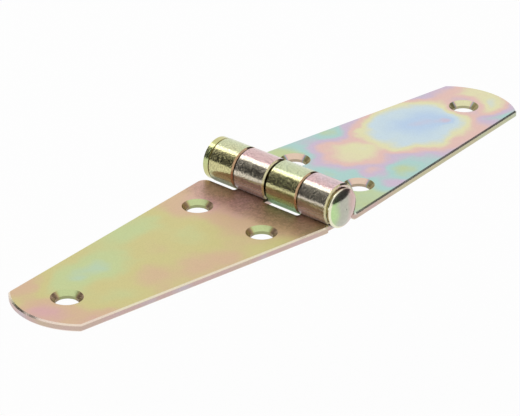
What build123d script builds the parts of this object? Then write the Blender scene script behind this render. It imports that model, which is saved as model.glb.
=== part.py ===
from build123d import *
import os
from math import asin, degrees, sqrt

os.makedirs("parts", exist_ok=True)

# Triangle hinge: two tapered leaves, each folded from one sheet, turning on a riveted pin.
# Frame: origin on the mounting plane under the middle of the pin, +Z up through the countersunk faces,
# X along the leaves (left leaf towards -X), Y along the pin with its domed head at -Y.

# Leaf outline
leaf_length = 85.0
tip_width = 25.7
tip_bulge = 5.0
tip_corner_radius = 0.9
left_base_corner_radius = 2.6
right_base_corner_radius = 0.9

# Sheet
plate_thickness = 2.0
sheet_edge_bevel = 0.4

# Barrel
barrel_diameter = 12.0
barrel_length = 44.2
knuckle_gap = 0.3
middle_gap = 0.7
left_notch_clearance = 1.0
right_notch_clearance = 0.5
notch_corner_radius = 0.3
seam_gap = 0.12

# Pin, with a domed near head and a thicker far head, both within the width of the leaves
pin_clearance = 0.05
near_head_room = 0.8
near_head_inset = 0.6
near_head_drop = 0.5
near_collar_inset = 1.1
near_collar_thickness = 0.35
near_head_thickness = 0.45
near_head_dome = 1.4
far_head_room = 2.0
far_head_inset = 0.1
far_head_thickness = 1.7
far_head_dome = 0.2
far_head_clearance = 0.05
head_edge_radius = 0.3

# Screw holes
screw_hole_diameter = 5.9
countersink_diameter = 8.3
countersink_angle = 90
tip_hole_distance = 77.4
base_hole_distance = 19.1
base_hole_spacing = 22.7

# Worked out from the sizes above
barrel_radius = barrel_diameter / 2
bore_radius = barrel_radius - plate_thickness
pin_radius = bore_radius - pin_clearance
half_width = barrel_length / 2
knuckle_width = (barrel_length - 2 * knuckle_gap - middle_gap) / 4
# The opposite knuckles are this wide where they pass the top face of the plate
barrel_reach = sqrt(barrel_radius**2 - (barrel_radius - plate_thickness) ** 2)
left_notch_distance = barrel_reach + left_notch_clearance
right_notch_distance = barrel_reach + right_notch_clearance
# The sheet rolls from under the pin round to just above its own top face
roll_angle = 270 + degrees(asin((barrel_radius - plate_thickness - seam_gap) / barrel_radius))
# Far side of a leaf's inner and outer knuckle, along Y
inner_knuckle_start = middle_gap / 2 + knuckle_width
outer_knuckle_start = -half_width + knuckle_width


def stamped_leaf(head_room, notch_distance, base_corner_radius):
    """The leaf on the -X side: a tapered plate, two tongues under the pin, and knuckles rolled from them.

    Its outer knuckle stops head_room short of the side of the plate, which leaves the pin's head its place.
    """
    knuckles = [(inner_knuckle_start, knuckle_width), (outer_knuckle_start, knuckle_width - head_room)]
    with BuildPart() as leaf:
        with BuildSketch():
            with BuildLine():
                base_far = (-notch_distance, half_width)
                base_near = (-notch_distance, -half_width)
                tip_far = (-leaf_length, tip_width / 2)
                tip_near = (-leaf_length, -tip_width / 2)
                Line(base_far, tip_far)
                ThreePointArc(tip_far, (-leaf_length - tip_bulge, 0), tip_near)
                Line(tip_near, base_near)
                Line(base_near, base_far)
            make_face()
            fillet(vertices().group_by(Axis.X)[0], radius=tip_corner_radius)
            fillet(vertices().group_by(Axis.X)[-1].sort_by(Axis.Y)[-1], radius=base_corner_radius)
            for start, width in knuckles:
                with Locations((-notch_distance, start)):
                    Rectangle(notch_distance, width, align=(Align.MIN, Align.MAX))
            notch_corners = vertices().filter_by_position(Axis.X, -notch_distance, -notch_distance)
            notch_corners = notch_corners.filter_by_position(
                Axis.Y, -half_width, inner_knuckle_start, inclusive=(False, True)
            )
            fillet(notch_corners, radius=notch_corner_radius)
        extrude(amount=plate_thickness)

        for start, width in knuckles:
            with BuildSketch(Plane.XZ.offset(-start)):
                with BuildLine():
                    outer = CenterArc((0, barrel_radius), barrel_radius, -90, roll_angle)
                    inner = CenterArc((0, barrel_radius), bore_radius, -90, roll_angle)
                    Line(outer @ 0, inner @ 0)
                    Line(outer @ 1, inner @ 1)
                make_face()
            extrude(amount=width)

        # Broken edges all round the sheet: its flat outline and both rims of each roll
        flat_edges = edges().filter_by(GeomType.LINE).filter_by_position(Axis.Z, 0, plate_thickness)
        flat_edges -= edges().filter_by(Axis.Z)
        flat_edges -= edges().filter_by_position(Axis.X, -seam_gap, seam_gap)
        chamfer(flat_edges + edges().filter_by(GeomType.CIRCLE), length=sheet_edge_bevel)

        with Locations((0, 0, plate_thickness)):
            with Locations(
                (-tip_hole_distance, 0),
                (-base_hole_distance, base_hole_spacing / 2),
                (-base_hole_distance, -base_hole_spacing / 2),
            ):
                CounterSinkHole(
                    radius=screw_hole_diameter / 2,
                    counter_sink_radius=countersink_diameter / 2,
                    counter_sink_angle=countersink_angle,
                )
    return leaf.part


# Left leaf: its outer knuckle lies behind the near head
with BuildPart() as left_leaf:
    add(stamped_leaf(near_head_room, left_notch_distance, left_base_corner_radius))
left_leaf.part.label = "left_leaf"

# Right leaf: turned half round, so its knuckles fill the left leaf's notches; the outer one meets the far head
with BuildPart() as right_leaf:
    with Locations(Rotation(0, 0, 180)):
        add(stamped_leaf(far_head_room, right_notch_distance, right_base_corner_radius))
right_leaf.part.label = "right_leaf"

# Pin: a shank through the barrel and a far head just clear of its knuckle, then the near head, which was
# set a little low: a dome on a small collar tight against the near knuckle
near_seat = -half_width + near_head_room
near_back = near_seat - near_collar_thickness
near_rim = near_back - near_head_thickness
near_radius = barrel_radius - near_head_inset
near_axis_z = barrel_radius - near_head_drop
collar_radius = barrel_radius - near_collar_inset
far_seat = half_width - far_head_room + far_head_clearance
far_rim = far_seat + far_head_thickness
far_radius = barrel_radius - far_head_inset
with BuildPart() as hinge_pin:
    with BuildSketch(Plane(origin=(0, 0, barrel_radius), x_dir=(0, 1, 0), z_dir=(1, 0, 0))):
        with BuildLine():
            Polyline(
                (near_back, 0),
                (near_back, pin_radius),
                (far_seat, pin_radius),
                (far_seat, far_radius),
                (far_rim, far_radius),
            )
            far_crown = TangentArc((far_rim + far_head_dome, 0), (far_rim, far_radius), tangent=(0, 1))
            Line(far_crown @ 0, (near_back, 0))
        make_face()
        fillet(vertices().filter_by_position(Axis.X, far_rim, far_rim), radius=head_edge_radius)
    revolve(axis=Axis((0, 0, barrel_radius), (0, 1, 0)))

    with BuildSketch(Plane(origin=(0, 0, near_axis_z), x_dir=(0, 1, 0), z_dir=(1, 0, 0))):
        with BuildLine():
            near_crown = TangentArc((near_rim - near_head_dome, 0), (near_rim, near_radius), tangent=(0, 1))
            Polyline(
                (near_rim, near_radius),
                (near_back, near_radius),
                (near_back, collar_radius),
                (near_seat, collar_radius),
                (near_seat, 0),
            )
            Line((near_seat, 0), near_crown @ 0)
        make_face()
        fillet(vertices().filter_by_position(Axis.X, near_rim, near_rim), radius=head_edge_radius)
    revolve(axis=Axis((0, 0, near_axis_z), (0, 1, 0)))
hinge_pin.part.label = "hinge_pin"

export_step(left_leaf.part, "parts/left_leaf.step")
export_step(right_leaf.part, "parts/right_leaf.step")
export_step(hinge_pin.part, "parts/hinge_pin.step")
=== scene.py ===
import math

import bpy
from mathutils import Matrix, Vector


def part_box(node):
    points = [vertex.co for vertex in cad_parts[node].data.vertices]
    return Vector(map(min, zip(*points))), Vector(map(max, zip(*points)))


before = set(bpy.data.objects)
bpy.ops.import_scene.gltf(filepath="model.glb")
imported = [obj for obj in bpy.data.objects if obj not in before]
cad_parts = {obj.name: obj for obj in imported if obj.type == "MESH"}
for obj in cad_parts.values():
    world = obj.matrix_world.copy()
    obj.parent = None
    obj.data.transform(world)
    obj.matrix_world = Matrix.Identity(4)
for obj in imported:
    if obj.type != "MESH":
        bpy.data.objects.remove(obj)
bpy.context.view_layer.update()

MM = 0.001

# Sizes read off the frame
LEFT_LOW, LEFT_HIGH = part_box("left_leaf")
PIN_AXIS_Z = (LEFT_LOW[2] + LEFT_HIGH[2]) / 2
BARREL_RADIUS = PIN_AXIS_Z - LEFT_LOW[2]
SWING_REACH = math.hypot(LEFT_LOW[0], PIN_AXIS_Z)

# Sizes repeated from the part's source, in mm
SHEET_TOP = 2.0
TIP_HOLE = (77.4, 0)
BASE_HOLES = [(19.1, 11.35), (19.1, -11.35)]
HOLE_RADIUS = 2.95
COUNTERSINK_RADIUS = 4.15
DRILLED_TOP = SHEET_TOP - (COUNTERSINK_RADIUS - HOLE_RADIUS)
NEAR_HEAD_DROP = 0.5
NEAR_HEAD_RADIUS = 5.4

# Camera at the photograph's angle, fitted to the outlines of the leaves, the holes and the barrel
CAMERA_PLACE = Vector((-0.49987, -0.45132, 0.33028))
CAMERA_FORWARD = Vector((0.66126, 0.60593, -0.44225))
CAMERA_LENS = 197.172
CAMERA_SENSOR = 36.0
# Its level direction into the picture
AWAY = (0.737, 0.676, 0.0)

# The order in which the plating's tints follow each other as its film grows thicker, once round
FILM_TINTS = [
    (0.00, (207, 192, 208)),
    (0.10, (184, 206, 230)),
    (0.22, (200, 218, 226)),
    (0.32, (224, 220, 176)),
    (0.40, (226, 190, 180)),
    (0.47, (204, 186, 206)),
    (0.54, (172, 208, 202)),
    (0.64, (195, 206, 149)),
    (0.74, (206, 197, 136)),
    (0.84, (212, 181, 147)),
    (0.93, (214, 170, 168)),
    (1.00, (207, 192, 208)),
]

# Looks of the two leaves. A film is a place in FILM_TINTS, tints are in screen values, and heights are in mm.
# Lobes and patches are places of thicker or thinner film: centre and half sizes across the leaf in mm, the
# share of them that stays level round the centre, and the change of film. Lobes run into each other, and
# patches add up.
LEFT_LOOK = {
    "side": -1,
    "sheet_film": 0.75,
    "lobes": [
        (-64, 6, 20, 12, 0.1, -0.15),
        (-40, 15, 20, 9, 0.1, -0.09),
    ],
    "patches": [
        (-28, 3, 13, 10, 0.1, -0.07),
        (-68, -9, 12, 9, 0.1, -0.03),
        (-55, -5, 9, 8, 0.0, 0.07),
        (-42, -14, 30, 11, 0.0, 0.09),
        (-88, -4, 14, 13, 0.2, 0.16),
        (-81, 12, 11, 8, 0.1, 0.12),
        (-78, -14, 12, 7, 0.1, 0.12),
        (-4, 4, 33, 38, 0.35, 0.15),
    ],
    "cut_side_films_far_and_near_the_pin": (0.93, 0.93),
    "knuckle_films_low_middle_top": (0.02, 0.78, 0.94),
    "hole_films_far_and_near_wall": (0.63, 0.85),
    "knuckle_rim": (206, 198, 150),
    "knuckle_wear": (220, 212, 206),
    "wear_share": 0.65,
    # Share of the painted shade beside the barrel, and of the stretched sheet there
    "barrel_shade_and_stretch": 1.0,
    "shadow_heights": (2.4, 1.9),
    "shadow_share": 0.4,
    "green_share": 0.0,
}
RIGHT_LOOK = {
    "side": 1,
    "sheet_film": 0.57,
    "lobes": [
        (58.2, 1.5, 25.5, 22, 0.37, -0.38),
        (60, -13, 26, 10, 0.2, -0.17),
        (33, 2.5, 17, 16, 0.2, -0.25),
        (28, -9, 9, 7, 0.1, -0.17),
        (81, 2, 18, 17, 0.4, -0.23),
    ],
    "patches": [
        (61, 1, 14, 10, 0.0, -0.12),
        (66, -3, 5, 4, 0.0, -0.13),
        (47, -1, 6, 5, 0.0, 0.05),
        (38, 15, 7, 7, 0.2, 0.05),
        (18, 16, 12, 10, 0.2, 0.09),
        (12, -17, 15, 13, 0.3, 0.08),
        (22, 0, 5, 6, 0.2, 0.05),
        (26, -18, 7, 6, 0.1, -0.09),
        (35, -13, 6, 5, 0.0, 0.08),
        (77.4, 0, 8, 8, 0.4, 0.10),
        (81, 9, 9, 7, 0.1, 0.08),
        (84, -7, 9, 8, 0.1, -0.05),
    ],
    "cut_side_films_far_and_near_the_pin": (0.70, 0.90),
    "knuckle_films_low_middle_top": (0.60, 0.72, 0.66),
    "hole_films_far_and_near_wall": (0.37, 0.72),
    "knuckle_rim": (182, 138, 110),
    "knuckle_wear": (214, 209, 162),
    "wear_share": 0.55,
    # Share of the painted shade beside the barrel, and of the stretched sheet there
    "barrel_shade_and_stretch": 0.15,
    "shadow_heights": (3.8, 2.4),
    "shadow_share": 0.6,
    "green_share": 0.75,
}

# How far lobes run into each other, and the change of film in the right leaf's tip hole and on the backs
LOBE_SMOOTHING = 0.10
TIP_HOLE_FILM_CHANGE = -0.06
BACK_FILM_CHANGE = 0.10

# Tints that both leaves share, in screen values, and the shares that are the same for both
CUT_METAL = (188, 180, 172)
CUT_METAL_SHARE = 0.5
# Painted shade on the near walls and sides of the screw holes, and in their drilled bores
NEAR_WALL_PAINTED_SHADE = (122, 96, 78)
NEAR_WALL_SHARE = 0.5
BORE_PAINTED_SHADE = (112, 104, 76)
BORE_SHADE_SHARE = 0.55
# Painted highlight along the bevels of the sheet
BEVEL_PAINTED_HIGHLIGHT = (248, 240, 228)
BEVEL_HIGHLIGHT_SHARE = 0.55
# Painted light that pales the tops of the knuckles
KNUCKLE_TOP_PAINTED_LIGHT = (250, 250, 250)
TOP_LIGHT_SHARE = 0.2
RIM_SHARE = 0.8
KNUCKLE_GREEN = (178, 240, 168)
# Multiplied into the sheet beside the barrel as painted shade, standing in for the barrel's shade and dark
# reflection
BARREL_PAINTED_SHADE = (240, 232, 234)
DEEP_SHADOW = (44, 38, 20)
CREVICE_SHARE = 0.22

# Heights between which a look of the knuckles fades in, in mm
MIDDLE_FILM_HEIGHTS = (3.6, 6.0)
TOP_FILM_HEIGHTS = (10.9, 11.5)
WEAR_HEIGHTS = (11.5, 10.8)
# Heights where the painted light on the knuckles' tops fades in
TOP_LIGHT_HEIGHTS = (10.8, 11.4)
GREEN_HEIGHTS = (5.6, 4.2)
SATIN_HEIGHTS = (6.2, 4.6)
MATT_HEIGHTS = (3.6, 2.6)

# Distances from the pin between which a look of the sheet beside it fades in, in mm
# Where the painted shade beside the barrel fades in
BARREL_SHADE_REACH = (17, 12.5)
STRETCHED_REACH = (18, 11)
# Where the painted shade beside the barrel weakens, close to the pin
PALER_REACH = (10, 7)
CREVICE_REACH = (6.8, 5.2)

# The same along the pin, from the middle of its length
MIDDLE_REACH = (20, 6)
BETWEEN_HEADS = (20.8, 20.4)

# Roughness and strength of the relief on each part
SHEET_ROUGHNESS = 0.33
STRETCHED_ROUGHNESS = 0.4
BEVEL_ROUGHNESS = 0.22
UPPER_KNUCKLE_ROUGHNESS = 0.12
LOWER_KNUCKLE_ROUGHNESS = 0.30
MATT_EXTRA_ROUGHNESS = 0.25
PIN_ROUGHNESS = 0.13
SHEET_RELIEF = 0.05
STRETCHED_RELIEF = 0.9
KNUCKLE_RELIEF = 0.48
PIN_RELIEF = 0.6
NEAR_HEAD_RELIEF = 0.2

# Tints of the pin's near head, in screen values
HEAD_GREEN = (188, 218, 158)
HEAD_GREY = (186, 186, 172)
HEAD_PINK = (208, 177, 171)
# The rim of the near head: a painted highlight on its left, going over to pink on its right
HEAD_RIM_HIGHLIGHT = (236, 234, 206)
HEAD_RIM_RIGHT = (206, 176, 168)

# Film on the rest of the pin, and the depth of the plating's relief where its strength is 1
PIN_FILM = 0.68
RELIEF_DEPTH = 0.06 * MM

# Studio, in metres
FLOOR_RADIUS = 12.0
FLOOR_CORNERS = 48
FLOOR_GAP = 1 * MM
FLOOR_WHITE = (0.9, 0.9, 0.9, 1.0)
FLOOR_GLOW_SHARE = 0.92
LAMP_DIRECTION = Vector((-0.103, 0.614, 0.783))
LAMP_DISTANCE = 0.9
LAMP_SIZES = (0.26, 0.20)
LAMP_POWER = 0.28
CARD_DISTANCE = 1.7
BACK_CARD_SHADE = 0.04
OTHER_CARD_SHADE = 0.09

# Corners of the dark cards: azimuth, turned from +X towards +Y, and elevation, in degrees
CARDS = {
    "card_back_low": [(152, 4), (137.5, 4), (124.5, 38), (139, 38)],
    "card_back_high": [(139, 38), (124.5, 38), (107, 50), (120, 52)],
    "card_side": [(126, 16), (84, 12), (84, 24), (116, 40)],
}
# The front cards stand side by side between these azimuths, from one level up to a top of their own
FRONT_CARD_EDGES = [-90, -75, -60, -36, -18, -2]
FRONT_CARD_TOPS = [16, 16, 16, 36, 36]
FRONT_CARD_FOOT = -2


def linear(red, green, blue):
    """A colour written as 0 to 255 screen values, as Blender's linear RGBA."""
    def one(value):
        value /= 255
        return value / 12.92 if value <= 0.04045 else ((value + 0.055) / 1.055) ** 2.4
    return (one(red), one(green), one(blue), 1.0)


class Nodes:
    """Short calls for building one node tree."""

    def __init__(self, tree):
        self.tree = tree
        tree.nodes.clear()

    def add(self, kind, **settings):
        node = self.tree.nodes.new(kind)
        for name, value in settings.items():
            setattr(node, name, value)
        return node

    def put(self, socket, value):
        """Links an output socket into the input, or writes the plain value on it."""
        if isinstance(value, bpy.types.NodeSocket):
            self.tree.links.new(value, socket)
        else:
            socket.default_value = value

    def math(self, operation, *values):
        node = self.add("ShaderNodeMath", operation=operation)
        for socket, value in zip(node.inputs, values):
            self.put(socket, value)
        return node.outputs[0]

    def times(self, product, *factors):
        for factor in factors:
            product = self.math("MULTIPLY", product, factor)
        return product

    def plus(self, total, *values):
        for value in values:
            total = self.math("ADD", total, value)
        return total

    def inverse(self, value):
        return self.math("SUBTRACT", 1.0, value)

    def vector(self, operation, *values):
        node = self.add("ShaderNodeVectorMath", operation=operation)
        for socket, value in zip(node.inputs, values):
            self.put(socket, value)
        return node.outputs["Value" if operation in ("LENGTH", "DOT_PRODUCT") else "Vector"]

    def scale(self, vector, factor):
        node = self.add("ShaderNodeVectorMath", operation="SCALE")
        self.put(node.inputs[0], vector)
        self.put(node.inputs["Scale"], factor)
        return node.outputs["Vector"]

    def split(self, vector):
        node = self.add("ShaderNodeSeparateXYZ")
        self.put(node.inputs[0], vector)
        return node.outputs[0], node.outputs[1], node.outputs[2]

    def step(self, value, start, end, low=0.0, high=1.0):
        """Goes smoothly from low at start to high at end."""
        node = self.add("ShaderNodeMapRange", interpolation_type="SMOOTHSTEP", clamp=True)
        settings = {"Value": value, "From Min": start, "From Max": end, "To Min": low, "To Max": high}
        for name, item in settings.items():
            self.put(node.inputs[name], item)
        return node.outputs["Result"]

    def step_mm(self, value, start, end, low=0.0, high=1.0):
        """The same over a length, with start and end in mm."""
        return self.step(value, start * MM, end * MM, low, high)

    def noise(self, vector, scale, detail=2.0, roughness=0.5, output="Fac"):
        node = self.add("ShaderNodeTexNoise")
        self.put(node.inputs["Vector"], vector)
        node.inputs["Scale"].default_value = scale
        node.inputs["Detail"].default_value = detail
        node.inputs["Roughness"].default_value = roughness
        return node.outputs[output]

    def swing(self, vector, scale, reach, detail=2.0):
        """Noise that strays up to about half of reach to both sides of 0."""
        return self.times(self.math("SUBTRACT", self.noise(vector, scale, detail), 0.5), reach)

    def mix(self, factor, first, second):
        node = self.add("ShaderNodeMix", data_type="FLOAT")
        for socket, value in zip((node.inputs[0], node.inputs[2], node.inputs[3]), (factor, first, second)):
            self.put(socket, value)
        return node.outputs[0]

    def tint(self, factor, first, second, blend="MIX"):
        node = self.add("ShaderNodeMix", data_type="RGBA", blend_type=blend)
        for socket, value in zip((node.inputs[0], node.inputs[6], node.inputs[7]), (factor, first, second)):
            self.put(socket, value)
        return node.outputs[2]

    def film_tint(self, film):
        """The plating's tint at a film, which starts again after each whole number."""
        node = self.add("ShaderNodeValToRGB")
        node.color_ramp.interpolation = "EASE"
        elements = node.color_ramp.elements
        while len(elements) < len(FILM_TINTS):
            elements.new(0.5)
        for element, (place, color) in zip(elements, FILM_TINTS):
            element.position = place
            element.color = linear(*color)
        self.put(node.inputs[0], self.math("FRACT", self.plus(film, 1.0)))
        return node.outputs[0]

    def distance_from_axis(self, place, axis_z):
        """How far a place is from a level axis along Y at a height."""
        out = self.vector("SUBTRACT", place, (0.0, 0.0, axis_z))
        return self.vector("LENGTH", self.vector("MULTIPLY", out, (1.0, 0.0, 1.0)))

    def metal(self, color, roughness, relief, strength):
        """Ends the tree as plated metal with a fine relief, RELIEF_DEPTH deep where strength is 1."""
        bump = self.add("ShaderNodeBump")
        self.put(bump.inputs["Height"], relief)
        self.put(bump.inputs["Strength"], strength)
        bump.inputs["Distance"].default_value = RELIEF_DEPTH
        shader = self.add("ShaderNodeBsdfPrincipled")
        shader.inputs["Metallic"].default_value = 1.0
        self.put(shader.inputs["Base Color"], color)
        self.put(shader.inputs["Roughness"], roughness)
        self.put(shader.inputs["Normal"], bump.outputs["Normal"])
        self.surface(shader.outputs["BSDF"])

    def surface(self, shader):
        output = self.add("ShaderNodeOutputMaterial")
        self.put(output.inputs["Surface"], shader)


def new_material(name):
    material = bpy.data.materials.new(name)
    material.use_nodes = True
    return material, Nodes(material.node_tree)


class LeafSurface:
    """Where the parts of a leaf's surface are, as sockets that rise from 0 to 1 there."""

    def __init__(self, nodes, look):
        coordinates = nodes.add("ShaderNodeTexCoord")
        self.place = coordinates.outputs["Object"]
        _, normal_y, self.normal_z = nodes.split(coordinates.outputs["Normal"])
        self.x, self.y, self.height = nodes.split(self.place)
        self.from_pin = nodes.math("ABSOLUTE", self.x)
        self.from_middle = nodes.math("ABSOLUTE", self.y)
        self.find_sheet_and_knuckles(nodes)
        self.find_screw_holes(nodes, look["side"])
        self.find_edges(nodes, nodes.math("ABSOLUTE", normal_y))
        self.find_shaded_and_stretched_sheet(nodes, look["barrel_shade_and_stretch"])

    def find_sheet_and_knuckles(self, nodes):
        """The knuckles, their side towards the left leaf without the underside, and the sheet's open top."""
        above_sheet = nodes.step_mm(self.height, SHEET_TOP + 0.3, SHEET_TOP + 0.1)
        flat_top = nodes.times(nodes.step(self.normal_z, 0.9, 0.97), above_sheet)
        from_axis = nodes.distance_from_axis(self.place, PIN_AXIS_Z)
        near_axis = nodes.step(from_axis, BARREL_RADIUS + 0.12 * MM, BARREL_RADIUS + 0.04 * MM)
        self.on_roll = nodes.times(near_axis, nodes.inverse(flat_top))
        self.off_roll = nodes.inverse(self.on_roll)
        self.open_top = nodes.times(nodes.step(self.normal_z, 0.5, 0.8), self.off_roll)
        left_side = nodes.times(nodes.step_mm(self.height, 0.9, 1.7), nodes.step_mm(self.x, -1, -3))
        self.left_side = nodes.times(left_side, self.on_roll)

    def find_screw_holes(self, nodes, side):
        """The walls of the screw holes, and the half of them that faces the photograph's camera."""
        in_hole, far_wall = 0.0, 0.0
        for x, y in [TIP_HOLE, *BASE_HOLES]:
            out = nodes.vector("SUBTRACT", self.place, (side * x * MM, y * MM, 0.0))
            out = nodes.vector("MULTIPLY", out, (1.0, 1.0, 0.0))
            from_centre = nodes.vector("LENGTH", out)
            hole = nodes.step_mm(from_centre, COUNTERSINK_RADIUS + 0.05, COUNTERSINK_RADIUS)
            facing = nodes.vector("DOT_PRODUCT", nodes.vector("NORMALIZE", out), AWAY)
            in_hole = nodes.math("MAXIMUM", in_hole, hole)
            far_wall = nodes.math("MAXIMUM", far_wall, nodes.times(hole, nodes.step(facing, 0.55, 0.85)))
        not_underside = nodes.step(self.normal_z, -0.9, -0.6)
        self.in_hole = nodes.times(in_hole, not_underside)
        self.far_wall = far_wall

    def find_edges(self, nodes, along_pin):
        """Cut sides and bevels of the sheet, and rims of the knuckles, which turn along the pin."""
        upright = nodes.math("ABSOLUTE", self.normal_z)
        self.on_side = nodes.step(upright, 0.6, 0.35)
        slanted = nodes.times(nodes.step(upright, 0.4, 0.6), nodes.step(upright, 0.95, 0.8))
        self.on_bevel = nodes.times(slanted, nodes.math("SUBTRACT", self.off_roll, self.in_hole))
        self.on_cut_side = nodes.times(self.on_side, self.off_roll, nodes.inverse(self.in_hole))
        on_rim = nodes.times(nodes.step(along_pin, 0.3, 0.6), nodes.step(along_pin, 0.97, 0.9))
        on_rim = nodes.times(on_rim, nodes.step_mm(self.height, SHEET_TOP, SHEET_TOP + 0.3, high=RIM_SHARE))
        self.on_rim = nodes.times(on_rim, self.on_roll)

    def find_shaded_and_stretched_sheet(self, nodes, share):
        """Painted shade on the sheet beside the barrel, standing in for the barrel's shade and dark
        reflection on it, with a wavering outline; stretched starts a little further out.
        """
        reach = nodes.plus(self.from_pin, nodes.swing(self.place, scale=220.0, reach=6 * MM))
        across = nodes.step_mm(self.from_middle, *MIDDLE_REACH, low=0.6)
        paler = nodes.step_mm(self.from_pin, *PALER_REACH, low=1.0, high=0.6)
        barrel_shade = nodes.step_mm(reach, *BARREL_SHADE_REACH, high=share)
        self.barrel_shade = nodes.times(barrel_shade, self.open_top, across, paler)
        stretched = nodes.step_mm(reach, *STRETCHED_REACH, high=share)
        self.stretched = nodes.times(stretched, self.open_top, across)


def film_change(nodes, place, spots, join):
    """The change of film from several spots at a place, each fading smoothly to its rim."""
    total = None
    for x, y, half_x, half_y, level, change in spots:
        away = nodes.vector("SUBTRACT", place, (x * MM, y * MM, 0.0))
        away = nodes.vector("MULTIPLY", away, (1 / (half_x * MM), 1 / (half_y * MM), 0.0))
        spot = nodes.step(nodes.vector("LENGTH", away), 1.0, level, high=change)
        total = spot if total is None else nodes.math(join, total, spot, LOBE_SMOOTHING)
    return total


def leaf_film(nodes, surface, look):
    """Film thickness, which drifts over the sheet and differs on its back, sides, knuckles and holes."""
    place = surface.place
    waver = nodes.noise(place, scale=80.0, detail=3.0, roughness=0.55, output="Color")
    waver = nodes.vector("SUBTRACT", waver, (0.5, 0.5, 0.5))
    moved = nodes.vector("ADD", place, nodes.scale(waver, 9 * MM))
    film = nodes.plus(nodes.swing(place, scale=55.0, reach=0.16), look["sheet_film"])
    film = nodes.plus(film, nodes.swing(place, scale=170.0, reach=0.06))
    film = nodes.plus(film, film_change(nodes, moved, look["lobes"], "SMOOTH_MIN"))
    film = nodes.plus(film, film_change(nodes, moved, look["patches"], "ADD"))
    film = nodes.plus(film, nodes.step(surface.normal_z, -0.6, -0.9, high=BACK_FILM_CHANGE))

    cut = nodes.step_mm(surface.from_pin, 32, 12, *look["cut_side_films_far_and_near_the_pin"])
    film = nodes.mix(surface.on_side, film, nodes.plus(nodes.swing(place, scale=90.0, reach=0.4), cut))

    low, middle, top = look["knuckle_films_low_middle_top"]
    rolled = nodes.mix(nodes.step_mm(surface.height, *MIDDLE_FILM_HEIGHTS), low, middle)
    rolled = nodes.mix(nodes.step_mm(surface.height, *TOP_FILM_HEIGHTS), rolled, top)
    rolled = nodes.plus(nodes.swing(place, scale=110.0, reach=0.16), rolled)
    film = nodes.mix(surface.on_roll, film, rolled)

    far, near = look["hole_films_far_and_near_wall"]
    far = nodes.step_mm(surface.x, 50, 60, far, far + TIP_HOLE_FILM_CHANGE)
    return nodes.mix(surface.in_hole, film, nodes.mix(surface.far_wall, near, far))


def tint_edges_and_holes(nodes, surface, color):
    """Duller cut sides, painted shade on the near walls and the drilled ends of the holes, and a painted
    highlight on the bevels.
    """
    color = nodes.tint(nodes.times(surface.on_cut_side, CUT_METAL_SHARE), color, linear(*CUT_METAL))
    # Painted shade on the near walls and sides of the holes
    near_wall = nodes.times(surface.in_hole, nodes.inverse(surface.far_wall))
    color = nodes.tint(nodes.times(near_wall, NEAR_WALL_SHARE), color, linear(*NEAR_WALL_PAINTED_SHADE))
    # Painted shade in the drilled ends of the holes
    drilled = nodes.step_mm(surface.height, DRILLED_TOP + 0.05, DRILLED_TOP - 0.05, high=BORE_SHADE_SHARE)
    color = nodes.tint(nodes.times(surface.in_hole, drilled), color, linear(*BORE_PAINTED_SHADE))
    # Painted highlight: the bevels are paled towards cream
    return nodes.tint(nodes.times(surface.on_bevel, BEVEL_HIGHLIGHT_SHARE), color, linear(*BEVEL_PAINTED_HIGHLIGHT))


def tint_knuckles(nodes, surface, look, color):
    """Worn below and with painted light on top, green low on the nearer knuckle, and with rims of another
    tint.
    """
    height = surface.height
    worn = nodes.times(surface.on_roll, nodes.step_mm(height, *WEAR_HEIGHTS, high=look["wear_share"]))
    color = nodes.tint(worn, color, linear(*look["knuckle_wear"]))
    # Painted light: the knuckles' tops are paled towards white
    painted_top_light = nodes.times(surface.on_roll, nodes.step_mm(height, *TOP_LIGHT_HEIGHTS, high=TOP_LIGHT_SHARE))
    color = nodes.tint(painted_top_light, color, linear(*KNUCKLE_TOP_PAINTED_LIGHT))
    green = nodes.step_mm(height, *GREEN_HEIGHTS, high=look["green_share"])
    nearer_half = nodes.step_mm(surface.y, 1, -1)
    green = nodes.times(green, nearer_half, surface.left_side)
    color = nodes.tint(green, color, linear(*KNUCKLE_GREEN))
    return nodes.tint(surface.on_rim, color, linear(*look["knuckle_rim"]))


def tint_by_barrel(nodes, surface, look, color):
    """Painted shade beside the barrel, standing in for its shade and dark reflection, and painted shadow
    right under it and low on the knuckles' left side.
    """
    # Painted shade: the sheet beside the barrel is darkened, standing in for the barrel's shade and dark
    # reflection on it
    color = nodes.tint(surface.barrel_shade, color, linear(*BARREL_PAINTED_SHADE), "MULTIPLY")
    crevice = nodes.step_mm(surface.from_pin, *CREVICE_REACH, high=CREVICE_SHARE)
    crevice = nodes.times(crevice, surface.open_top)
    shadow = nodes.step_mm(surface.height, *look["shadow_heights"], high=look["shadow_share"])
    between_heads = nodes.step_mm(surface.from_middle, *BETWEEN_HEADS)
    shadow = nodes.times(shadow, surface.left_side, between_heads)
    return nodes.tint(nodes.math("MAXIMUM", crevice, shadow), color, linear(*DEEP_SHADOW))


def darken_specks_and_cracks(nodes, surface, color):
    """Fine specks, plainer on the knuckles and the stretched sheet beside the barrel, and fine cracks in that
    sheet.
    """
    speckled = nodes.math("MAXIMUM", nodes.times(surface.stretched, 0.7), surface.on_roll)
    darkest_speck = nodes.mix(speckled, 0.97, 0.74)
    specks = nodes.noise(surface.place, scale=2600.0, detail=1.0)
    color = nodes.scale(color, nodes.step(specks, 0.36, 0.60, low=darkest_speck, high=1.02))
    darkest_crack = nodes.mix(surface.stretched, 1.0, 0.8)
    cracks = nodes.noise(surface.place, scale=900.0, detail=3.0, roughness=0.65)
    return nodes.scale(color, nodes.step(cracks, 0.44, 0.56, low=darkest_crack))


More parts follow.
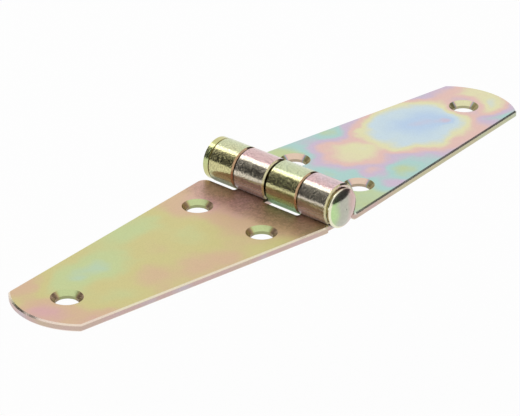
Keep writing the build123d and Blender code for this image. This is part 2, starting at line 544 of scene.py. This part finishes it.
def leaf_roughness(nodes, surface):
    """Satin and streaked on the sheet, polished on bevels and upper knuckles, and matt low on these."""
    knuckle = nodes.step_mm(surface.height, *SATIN_HEIGHTS, UPPER_KNUCKLE_ROUGHNESS, LOWER_KNUCKLE_ROUGHNESS)
    knuckle = nodes.plus(knuckle, nodes.step_mm(surface.height, *MATT_HEIGHTS, high=MATT_EXTRA_ROUGHNESS))
    sheet = nodes.mix(surface.stretched, SHEET_ROUGHNESS, STRETCHED_ROUGHNESS)
    sheet = nodes.mix(surface.on_bevel, sheet, BEVEL_ROUGHNESS)
    roughness = nodes.mix(surface.on_roll, sheet, knuckle)
    streak_reach = nodes.mix(surface.on_roll, 0.12, 0.05)
    streaks = nodes.swing(surface.place, scale=260.0, reach=streak_reach, detail=3.0)
    return nodes.plus(roughness, streaks)


def leaf_relief(nodes, surface):
    """Grain of the sheet under the plating, and its strength: deeper where the sheet was stretched."""
    grain = nodes.noise(surface.place, scale=2700.0, detail=1.0)
    pits = nodes.step(nodes.noise(surface.place, scale=900.0), 0.3, 0.5)
    relief = nodes.plus(nodes.times(pits, 0.4), grain)
    strength = nodes.mix(surface.stretched, SHEET_RELIEF, STRETCHED_RELIEF)
    return relief, nodes.mix(surface.on_roll, strength, KNUCKLE_RELIEF)


def leaf_plating(name, look):
    """Iridescent zinc plating of a leaf: tints that follow a film thickness, over a fine grain."""
    material, nodes = new_material(name)
    surface = LeafSurface(nodes, look)
    color = nodes.film_tint(leaf_film(nodes, surface, look))
    color = tint_edges_and_holes(nodes, surface, color)
    color = tint_knuckles(nodes, surface, look, color)
    color = tint_by_barrel(nodes, surface, look, color)
    color = darken_specks_and_cracks(nodes, surface, color)
    relief, strength = leaf_relief(nodes, surface)
    nodes.metal(color, leaf_roughness(nodes, surface), relief, strength)
    return material


def pin_plating():
    """The pin's plating: tints that run across its near head, from green over grey to pink, with a painted
    highlight on the left of the head's rim.
    """
    material, nodes = new_material("zinc_pin")
    place = nodes.add("ShaderNodeTexCoord").outputs["Object"]
    x, y, _ = nodes.split(place)
    on_near_head = nodes.step_mm(y, -18, -20)
    rest = nodes.film_tint(nodes.plus(nodes.swing(place, scale=150.0, reach=0.2), PIN_FILM))

    waver = nodes.plus(x, nodes.swing(place, scale=260.0, reach=3 * MM))
    head = nodes.tint(nodes.step_mm(waver, -4.4, -1.6), linear(*HEAD_GREEN), linear(*HEAD_GREY))
    head = nodes.tint(nodes.step_mm(waver, 0.4, 3.2), head, linear(*HEAD_PINK))
    # Painted highlight on the left of the near head's rim
    rim = nodes.tint(nodes.step_mm(x, -2, 2), linear(*HEAD_RIM_HIGHLIGHT), linear(*HEAD_RIM_RIGHT))
    from_axis = nodes.distance_from_axis(place, PIN_AXIS_Z - NEAR_HEAD_DROP * MM)
    on_rim = nodes.step_mm(from_axis, NEAR_HEAD_RADIUS - 0.7, NEAR_HEAD_RADIUS - 0.4)
    head = nodes.tint(on_rim, head, rim)

    color = nodes.tint(on_near_head, rest, head)
    specks = nodes.noise(place, scale=1400.0, roughness=0.6)
    color = nodes.scale(color, nodes.step(specks, 0.35, 0.75, low=0.94, high=1.03))
    roughness = nodes.plus(nodes.swing(place, scale=300.0, reach=0.06, detail=3.0), PIN_ROUGHNESS)
    relief = nodes.noise(place, scale=2200.0)
    nodes.metal(color, roughness, relief, nodes.mix(on_near_head, PIN_RELIEF, NEAR_HEAD_RELIEF))
    return material


def finish_node(name, material):
    """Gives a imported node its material. Its mesh stays as it is."""
    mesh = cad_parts[name].data
    mesh.materials.clear()
    mesh.materials.append(material)


def make_camera():
    data = bpy.data.cameras.new("photo_camera")
    data.sensor_width = CAMERA_SENSOR
    data.lens = CAMERA_LENS
    data.clip_start = 0.01
    data.clip_end = 50.0
    camera = bpy.data.objects.new("photo_camera", data)
    bpy.context.scene.collection.objects.link(camera)
    camera.location = CAMERA_PLACE
    camera.rotation_mode = "QUATERNION"
    camera.rotation_quaternion = CAMERA_FORWARD.to_track_quat("-Z", "Y")
    bpy.context.scene.camera = camera


def stage_mesh(name, corners, material):
    mesh = bpy.data.meshes.new(name)
    mesh.from_pydata(corners, [], [tuple(range(len(corners)))])
    mesh.materials.append(material)
    thing = bpy.data.objects.new(name, mesh)
    bpy.context.scene.collection.objects.link(thing)


def make_floor():
    """A white disc below the swung leaf, whose edge is out of view.

    It looks white to the camera and in mirror images, and lights the part as plain paint does.
    """
    material, nodes = new_material("studio_floor")
    path = nodes.add("ShaderNodeLightPath")
    seen = nodes.math("MAXIMUM", path.outputs["Is Camera Ray"], path.outputs["Is Glossy Ray"])
    seen = nodes.math("MAXIMUM", seen, path.outputs["Is Transmission Ray"])
    paint = nodes.add("ShaderNodeBsdfDiffuse")
    paint.inputs["Color"].default_value = FLOOR_WHITE
    glow = nodes.add("ShaderNodeEmission")
    glow.inputs["Strength"].default_value = 1.0
    both = nodes.add("ShaderNodeMixShader")
    nodes.put(both.inputs[0], nodes.times(seen, FLOOR_GLOW_SHARE))
    nodes.put(both.inputs[1], paint.outputs[0])
    nodes.put(both.inputs[2], glow.outputs[0])
    nodes.surface(both.outputs[0])
    floor_z = PIN_AXIS_Z - SWING_REACH - FLOOR_GAP
    turns = [2 * math.pi * i / FLOOR_CORNERS for i in range(FLOOR_CORNERS)]
    corners = [(FLOOR_RADIUS * math.cos(t), FLOOR_RADIUS * math.sin(t), floor_z) for t in turns]
    stage_mesh("studio_floor", corners, material)


def card_corner(azimuth, elevation):
    """A point at the cards' level distance from the pin."""
    level = math.radians(azimuth)
    up = CARD_DISTANCE * math.tan(math.radians(elevation))
    return (CARD_DISTANCE * math.cos(level), CARD_DISTANCE * math.sin(level), PIN_AXIS_Z + up)


def make_card(name, corners):
    """One of the dark cards that give the knuckles, the near head and the bevels their dark lines."""
    material, nodes = new_material(name)
    shade = BACK_CARD_SHADE if name.startswith("card_back") else OTHER_CARD_SHADE
    paint = nodes.add("ShaderNodeBsdfDiffuse")
    paint.inputs["Color"].default_value = (shade, shade, shade, 1.0)
    nodes.surface(paint.outputs[0])
    stage_mesh(name, [card_corner(*corner) for corner in corners], material)


def make_cards():
    for name, corners in CARDS.items():
        make_card(name, corners)
    foot = FRONT_CARD_FOOT
    for i, top in enumerate(FRONT_CARD_TOPS):
        start, end = FRONT_CARD_EDGES[i:i + 2]
        make_card(f"card_front_{i}", [(start, foot), (end, foot), (end, top), (start, top)])


def make_light():
    """White light from all round, and a small softbox whose image is the bright line along the knuckles."""
    world = bpy.data.worlds.new("studio_world")
    bpy.context.scene.world = world
    world.use_nodes = True
    nodes = Nodes(world.node_tree)
    background = nodes.add("ShaderNodeBackground")
    background.inputs["Color"].default_value = (1.0, 1.0, 1.0, 1.0)
    background.inputs["Strength"].default_value = 1.0
    output = nodes.add("ShaderNodeOutputWorld")
    nodes.put(output.inputs["Surface"], background.outputs[0])

    lamp = bpy.data.lights.new("softbox", "AREA")
    lamp.shape = "RECTANGLE"
    lamp.size, lamp.size_y = LAMP_SIZES
    lamp.energy = LAMP_POWER
    softbox = bpy.data.objects.new("softbox", lamp)
    bpy.context.scene.collection.objects.link(softbox)
    softbox.location = LAMP_DIRECTION * LAMP_DISTANCE
    softbox.rotation_mode = "QUATERNION"
    softbox.rotation_quaternion = (-softbox.location).to_track_quat("-Z", "Y")


make_camera()
make_floor()
make_cards()
make_light()

finish_node("left_leaf", leaf_plating("zinc_left", LEFT_LOOK))
finish_node("right_leaf", leaf_plating("zinc_right", RIGHT_LOOK))
finish_node("hinge_pin", pin_plating())

bpy.context.scene.view_settings.view_transform = "Standard"
